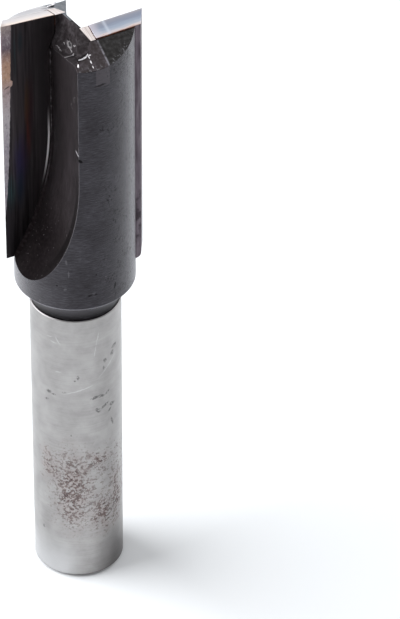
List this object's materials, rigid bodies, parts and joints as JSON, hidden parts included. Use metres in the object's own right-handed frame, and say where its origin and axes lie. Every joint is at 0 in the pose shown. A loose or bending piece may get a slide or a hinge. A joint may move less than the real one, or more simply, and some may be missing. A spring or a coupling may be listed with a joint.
{
  "type": "straight router bit",
  "caption": "Straight plunge-cutting router bit with a bright cylindrical shank, a dark fluted head and brazed carbide tips.",
  "frame": {"origin": "centre of the shank's end face", "axes": "+Z along the axis from the shank to the cutting end, the rake faces of the tips parallel to the XZ plane"},
  "size_m": [0.0186, 0.0166, 0.0926],
  "materials": {
    "body_steel": "ground bright on the shank, black oxide on the neck and head",
    "carbide": "ground",
    "braze": "dull"
  },
  "bodies": {
    "root": {"steel_body": "body_steel", "carbide_tip_1": "carbide", "carbide_tip_2": "carbide", "braze_seam_1": "braze", "braze_seam_2": "braze"}
  },
  "joints": []
}
